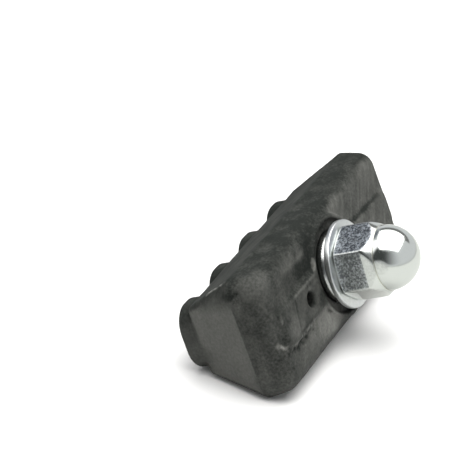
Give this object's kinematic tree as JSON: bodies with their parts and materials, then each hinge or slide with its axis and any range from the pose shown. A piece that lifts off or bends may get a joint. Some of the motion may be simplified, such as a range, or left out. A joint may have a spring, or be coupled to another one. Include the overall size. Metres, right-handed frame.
{
  "type": "bicycle rim brake pad",
  "caption": "Tapered rubber rim brake pad with a row of oblong friction studs, moulded onto a threaded steel post that carries a flat washer and a domed nut.",
  "frame": {"origin": "on the post's axis, at the flat back of the rubber block", "axes": "+X along the block, -Y along the post towards the nut, +Y towards the rim, +Z across the block, up"},
  "size_m": [0.0464, 0.0291, 0.0186],
  "materials": {
    "block_rubber": "dull, scuffed and dusty",
    "post_steel": "turned",
    "washer_zinc": "bright zinc, a little dulled",
    "nut_zinc": "bright zinc, speckled"
  },
  "bodies": {
    "root": {"brake_block": "block_rubber", "threaded_post": "post_steel", "washer": "washer_zinc", "domed_nut": "nut_zinc"}
  },
  "joints": []
}
